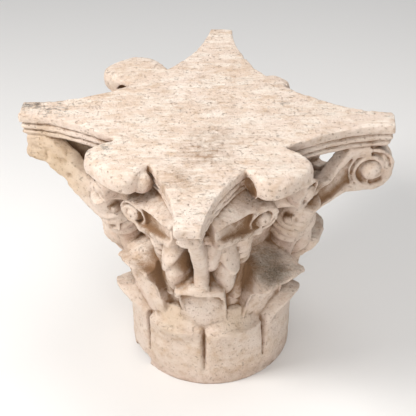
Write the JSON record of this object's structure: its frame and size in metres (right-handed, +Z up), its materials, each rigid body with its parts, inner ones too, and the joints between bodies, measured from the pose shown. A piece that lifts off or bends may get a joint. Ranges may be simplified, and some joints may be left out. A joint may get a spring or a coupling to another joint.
{
  "type": "corinthian column capital",
  "caption": "Weathered carved limestone column capital with two rows of leaves, corner volutes and a horned abacus; it tops a round shaft.",
  "frame": {"origin": "middle of the round underside, on the face that rests on the shaft", "axes": "+Z up the column's axis, towards the flat top bed; the four faces look along +X, +Y, -X and -Y and the horns point between them"},
  "size_m": [0.5773, 0.5501, 0.565],
  "materials": {
    "limestone": "matt, pitted and weathered"
  },
  "bodies": {
    "root": {"capital": "limestone"}
  },
  "joints": []
}
